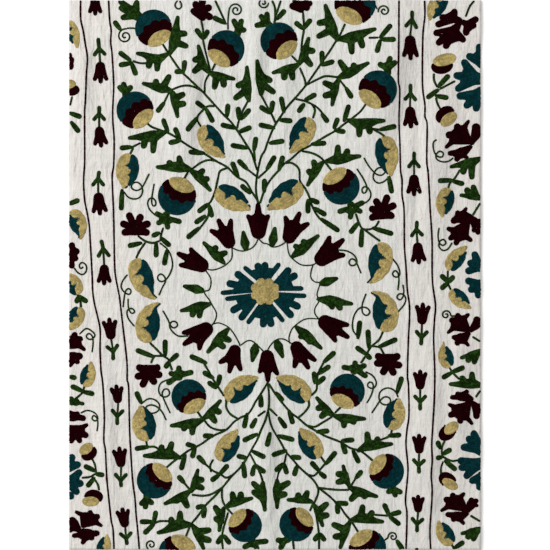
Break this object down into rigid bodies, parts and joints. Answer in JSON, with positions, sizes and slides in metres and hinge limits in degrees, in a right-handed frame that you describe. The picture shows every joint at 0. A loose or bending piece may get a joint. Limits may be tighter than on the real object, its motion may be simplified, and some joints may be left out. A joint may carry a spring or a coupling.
{
  "type": "suzani embroidered textile length",
  "caption": "Cut length of white cotton suzani cloth lying face up in soft upright folds, covered in chain-stitched pomegranates, tulips, leaves and rosettes.",
  "frame": {"origin": "on the surface that the cloth lies on, under the middle of the cloth", "axes": "+X across the cloth to the picture's right, +Y up its length to the picture's top, +Z off its embroidered face"},
  "size_m": [0.7503, 1.0002, 0.0115],
  "materials": {
    "ground_cotton": "matt plain-woven undyed cotton",
    "thread_green": "soft sheen dark green embroidery yarn",
    "thread_teal": "soft sheen deep teal embroidery yarn",
    "thread_maroon": "soft sheen dark maroon embroidery yarn",
    "thread_gold": "soft sheen old gold embroidery yarn"
  },
  "bodies": {
    "root": {"ground_cloth": "ground_cotton"}
  },
  "joints": []
}
